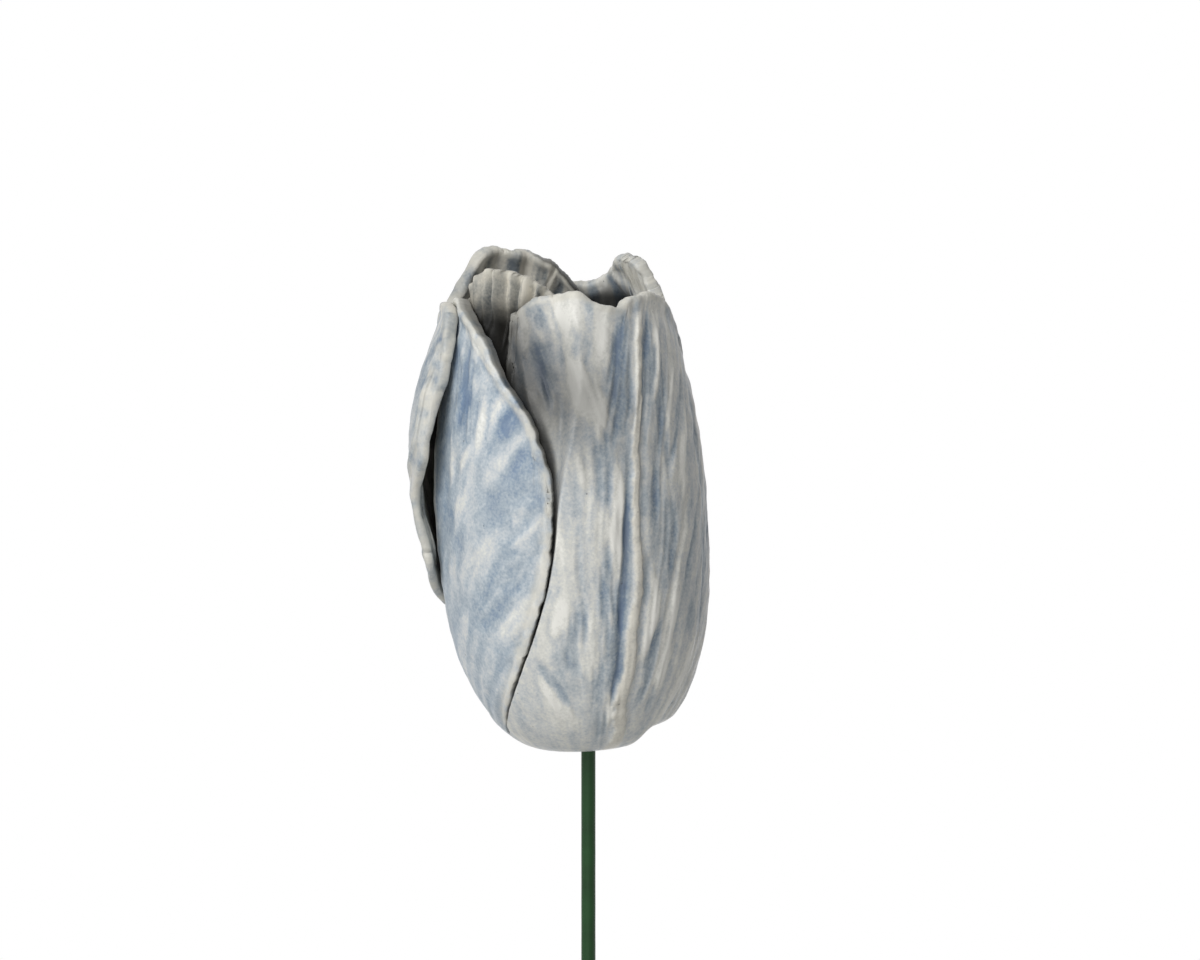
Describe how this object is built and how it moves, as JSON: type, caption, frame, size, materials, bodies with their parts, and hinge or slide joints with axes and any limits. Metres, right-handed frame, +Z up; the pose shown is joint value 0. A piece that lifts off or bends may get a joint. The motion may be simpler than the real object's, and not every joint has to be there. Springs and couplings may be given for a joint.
{
  "type": "ceramic tulip",
  "caption": "Ceramic tulip ornament: overlapping veined petals in streaked blue-grey and ivory glaze round a clay base, on a straight green plastic-coated wire stem.",
  "frame": {"origin": "the middle of the stem's cut lower end", "axes": "+Z runs up the stem into the flower, the front of the flower faces -Y, and the flower leans towards -X"},
  "size_m": [0.0417, 0.037, 0.3492],
  "materials": {
    "petal_glaze": "gloss",
    "base_clay": "matte",
    "glue": "gloss",
    "green_plastic": "satin",
    "steel_wire": "satin"
  },
  "bodies": {
    "root": {"outer_petal_front_left": "petal_glaze", "outer_petal_front_right": "petal_glaze", "outer_petal_back": "petal_glaze", "inner_petal_back_left": "petal_glaze", "inner_petal_right": "petal_glaze", "inner_petal_front": "petal_glaze", "clay_base": "base_clay", "stem_glue": "glue", "stem_coat": "green_plastic", "stem_wire": "steel_wire"}
  },
  "joints": []
}
